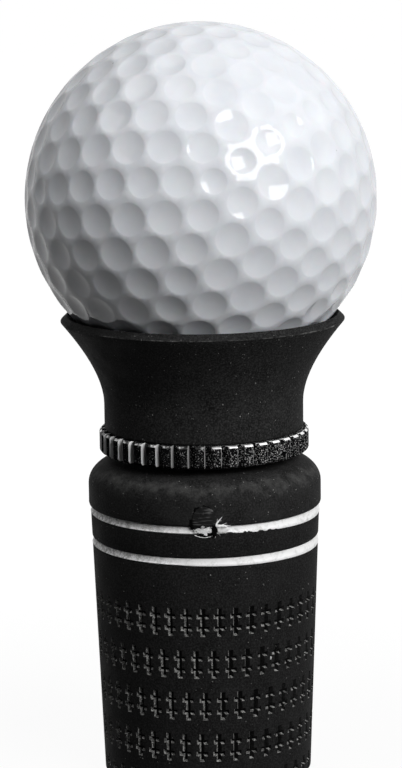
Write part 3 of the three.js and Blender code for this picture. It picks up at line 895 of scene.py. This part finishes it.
def make_flake(name, place, size, tear, thickness_share, out_share):
    """A thin flat flake with a torn outline."""
    form = bmesh.new()
    rim = bmesh.ops.create_circle(form, segments=FLAKE_SIDES, radius=1, cap_ends=True,
                                  matrix=Matrix.Rotation(math.pi / 2, 4, "X"))["verts"]
    for vert in rim:
        vert.co *= 1 + tear * noise.noise(vert.co / TEAR_GRAIN + Vector((*place, 0)) * TEAR_SHIFT)
    for inset in FLAKE_INSETS:
        middle = [face for face in form.faces if len(face.verts) == FLAKE_SIDES]
        bmesh.ops.inset_individual(form, faces=middle, thickness=inset)
    bmesh.ops.poke(form, faces=[face for face in form.faces if len(face.verts) == FLAKE_SIDES])
    raised = bmesh.ops.extrude_face_region(form, geom=form.faces[:], use_keep_orig=True)["geom"]
    for vert in raised:
        if isinstance(vert, bmesh.types.BMVert):
            outer = vert.is_boundary or vert.co.length > FLAKE_RIM
            vert.co.y -= GATE_THICKNESS * thickness_share * (FLAKE_RIM_SHARE if outer else 1)
    bmesh.ops.scale(form, verts=form.verts, vec=(size[0] / 2, 1, size[1] / 2))
    bmesh.ops.translate(form, verts=form.verts, vec=(place[0], 0, place[1]))
    wrap(form, GATE_THICKNESS * out_share)
    return piece_from(form, name, 60)


def make_shreds():
    """Torn points of rubber, whitened by paint: thin cones that fan out from the tear."""
    form = bmesh.new()
    for across, height, degrees, length, thickness in SHREDS:
        lean = Matrix.Rotation(math.radians(90 - degrees), 4, "Y")
        seat = Matrix.Translation((across, 0, height)) @ lean @ Matrix.Translation((0, 0, length / 2))
        bmesh.ops.create_cone(form, cap_ends=True, segments=SHRED_SIDES, radius1=thickness,
                              radius2=thickness / SHRED_TAPER, depth=length, matrix=seat)
    noise.seed_set(SHRED_SEED)
    for vert in form.verts:
        bent = noise.noise_vector(vert.co / SHRED_CURL_GRAIN) * SHRED_CURL
        vert.co += Vector((bent.x, 0, bent.z))
    wrap(form, 0)
    return piece_from(form, "gate_shreds", 50)


def make_gate_arc():
    """The thin lip of paint under the pad."""
    form = bmesh.new()
    seat = Matrix.Translation((0, 0, -ARC_RADIUS)) @ Matrix.Rotation(math.pi / 2, 4, "Y")
    bmesh.ops.create_circle(form, segments=ARC_SIDES, radius=ARC_TUBE, cap_ends=True, matrix=seat)
    bmesh.ops.rotate(form, verts=form.verts, matrix=Matrix.Rotation(-ARC_SPAN / 2, 3, "Y"))
    bmesh.ops.spin(form, geom=form.faces[:], cent=(0, 0, 0), axis=(0, 1, 0), angle=ARC_SPAN,
                   steps=ARC_STEPS)
    bmesh.ops.translate(form, verts=form.verts, vec=ARC_CENTRE)
    wrap(form, 0)
    return piece_from(form, "gate_arc", 60)


# Scraped rubber of the pad: black, with level scratches that hold dust, drawn coarse enough to show
def make_pad_rubber():
    material, place = new_material("scraped_pad_rubber")
    level = add_node(material, "Mapping", {"Vector": place, "Scale": (0.14, 0.14, 1)})
    scratch = add_node(material, "TexNoise", grains(level.outputs["Vector"], 0.0002, 3))
    tone = add_node(material, "ValToRGB", {"Fac": scratch.outputs["Fac"]})
    set_ramp(tone, (0.5, "#1d1d1d"), (0.68, "#606060"))
    bump = add_node(material, "Bump", relief(scratch.outputs["Fac"], 0.00006, 0.8))
    return finish_material(material, {
        "Base Color": tone.outputs["Color"], "Roughness": 0.75, "Normal": bump.outputs["Normal"],
        "IOR": 1.5, "Specular IOR Level": 0.05})


# The crack and the notch are flakes of torn rubber painted near black, darker than the grip, as painted
# shade in the tear and round the pad's edge
coats = {"torn": make_rubber("torn_rubber_painted_shade", "#030303", "#080808", 0.1, 0.7, 0.0),
         "pad": make_pad_rubber(), "paint": line_paint}
marks = [(make_flake(*flake), coats[coat]) for coat, *flake in FLAKES]
marks += [(make_shreds(), line_paint), (make_gate_arc(), line_paint)]
for mark, coat in marks:
    mark.data.materials.append(coat)
    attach(mark, "handle")

# Grip tape.
# Double-sided paper tape wound on the shaft, which holds the sleeve. Only its cut end shows, below.


# Creped masking tape: buff paper with fine wrinkles round the shaft
def make_tape_paper():
    material, place = new_material("creped_paper_tape")
    stretch = add_node(material, "Mapping", {"Vector": place, "Scale": (1, 1, 6)})
    crepe = add_node(material, "TexNoise", grains(stretch.outputs["Vector"], 0.0012, 4))
    tone = add_node(material, "ValToRGB", {"Fac": crepe.outputs["Fac"]})
    set_ramp(tone, (0, "#b9a777"), (1, "#dccfa8"))
    bump = add_node(material, "Bump", relief(crepe.outputs["Fac"], 0.00003, 0.7))
    return finish_material(material, {
        "Base Color": tone.outputs["Color"], "Roughness": 0.8, "Normal": bump.outputs["Normal"]})


recoat("grip_tape", make_tape_paper())

# Shaft.
# The butt end of a stepped steel shaft, chromed outside and sawn through below.


# Chromed steel: bright and clean, with draw marks along it, coarser than life so that they show
def make_shaft_chrome():
    material, place = new_material("chromed_steel_tube")
    drawn = add_node(material, "Mapping", {"Vector": place, "Scale": (1, 1, 0.05)})
    lines = add_node(material, "TexNoise", grains(drawn.outputs["Vector"], 0.0003, 3))
    tone = add_node(material, "ValToRGB", {"Fac": lines.outputs["Fac"]})
    set_ramp(tone, (0, "#c2c3c4"), (1, "#dededf"))
    rough = add_node(material, "MapRange", span(lines.outputs["Fac"], 0.3, 0.7, 0.12, 0.3))
    bump = add_node(material, "Bump", relief(lines.outputs["Fac"], 0.00001, 0.5))
    return finish_material(material, {
        "Base Color": tone.outputs["Color"], "Metallic": 1, "Roughness": rough.outputs["Result"],
        "Normal": bump.outputs["Normal"]})


recoat("shaft_tube", make_shaft_chrome())

# Floor.
# A plain pale floor that reads white in the picture and still takes the object's shadow.

FLOOR_SIZE = 8
FLOOR_GAP = 0.00002
FLOOR_GLOW_NEAR = 0.95
FLOOR_GLOW_FAR = 1.0
NEAR_REACH = 0.03
FAR_REACH = 0.12


def make_floor():
    form = bmesh.new()
    bmesh.ops.create_grid(form, x_segments=1, y_segments=1, size=FLOOR_SIZE / 2,
                          matrix=Matrix.Translation((0, 0, -FLOOR_GAP)))
    return piece_from(form, "floor")


def seen_only(owner):
    """One for what is seen straight, in a mirror or through glass, and nothing for the light that falls."""
    path = add_node(owner, "LightPath")
    straight = add_node(owner, "Math", {0: path.outputs["Is Camera Ray"], 1: path.outputs["Is Glossy Ray"]},
                        operation="ADD")
    seen = add_node(owner, "Math", {0: straight.outputs["Value"], 1: path.outputs["Is Transmission Ray"]},
                    operation="ADD", use_clamp=True)
    return seen.outputs["Value"]


# Matt grey paint. Where it is seen it glows up to white, a little less near the object so that the shadow
# shows, and it lights nothing by that.
def make_floor_paint():
    material, place = new_material("matt_floor_paint")
    away = add_node(material, "VectorMath", {0: place}, operation="LENGTH")
    level = add_node(material, "MapRange", span(away.outputs["Value"], NEAR_REACH, FAR_REACH,
                                                FLOOR_GLOW_NEAR, FLOOR_GLOW_FAR))
    scuff = add_node(material, "TexNoise", grains(place, 0.02, 4))
    tone = add_node(material, "ValToRGB", {"Fac": scuff.outputs["Fac"]})
    set_ramp(tone, (0, "#373737"), (1, "#3d3d3d"))
    glow = add_node(material, "Math", {0: seen_only(material), 1: level.outputs["Result"]},
                    operation="MULTIPLY")
    return finish_material(material, {
        "Base Color": tone.outputs["Color"], "Roughness": 0.9, "Specular IOR Level": 0,
        "Emission Color": (1, 1, 1, 1), "Emission Strength": glow.outputs["Value"]})


floor = make_floor()
floor.data.materials.append(make_floor_paint())

# Studio light.
# A soft box beside the camera that glints on the ball, a wide soft light on the right, another above on the
# left, and a very dim, even room.

AIM = Vector((0, 0, BALL_CENTRE.z))


def add_lamp(name, direction, distance, size, power):
    """A square soft box that faces the object."""
    lamp = bpy.data.lights.new(name, "AREA")
    lamp.shape = "SQUARE"
    lamp.size = size
    lamp.energy = power
    holder = bpy.data.objects.new(name, lamp)
    holder.location = AIM + Vector(direction).normalized() * distance
    holder.rotation_euler = (AIM - holder.location).to_track_quat("-Z", "Y").to_euler()
    bpy.context.scene.collection.objects.link(holder)


add_lamp("side_light", (0.8, -0.35, 0.5), 0.8, 1.1, 2.6)
add_lamp("soft_box", (0.56, -0.654, 0.507), 0.8, 0.4, 4.8)
add_lamp("top_light", (-0.36, -0.16, 0.93), 0.9, 0.8, 2.85)

world = empty_tree(bpy.data.worlds.new("studio"))
bpy.context.scene.world = world
level = add_node(world, "MapRange", span(seen_only(world), 0.0, 1.0, 0.01, 1.0))
sky = add_node(world, "Background", {"Color": (1, 1, 1, 1), "Strength": level.outputs["Result"]})
add_node(world, "OutputWorld", {"Surface": sky.outputs["Background"]})

# Camera.
# Fitted to the outlines in the photograph: a long lens a little above the ball, tilted down and slightly
# rolled.

PHOTO_HEIGHT = 768
FOCAL_PIXELS = 2843
SENSOR = 36
CAMERA_PLACE = Vector((0, -0.3427, 0.1104))
PITCH = math.radians(10.29)
PAN = math.radians(-0.05)
ROLL = math.radians(-0.75)


def add_camera():
    lens = bpy.data.cameras.new("camera")
    lens.sensor_width = SENSOR
    lens.lens = FOCAL_PIXELS * SENSOR / PHOTO_HEIGHT
    camera = bpy.data.objects.new("camera", lens)
    ahead = Vector((math.sin(PAN) * math.cos(PITCH), math.cos(PAN) * math.cos(PITCH), -math.sin(PITCH)))
    right = ahead.cross(Vector((0, 0, 1))).normalized()
    up = right.cross(ahead)
    across = right * math.cos(ROLL) + up * math.sin(ROLL)
    upright = up * math.cos(ROLL) - right * math.sin(ROLL)
    turn = Matrix((across, upright, -ahead)).transposed().to_4x4()
    camera.matrix_world = Matrix.Translation(CAMERA_PLACE) @ turn
    bpy.context.scene.collection.objects.link(camera)
    bpy.context.scene.camera = camera


add_camera()
bpy.context.scene.view_settings.view_transform = "Standard"
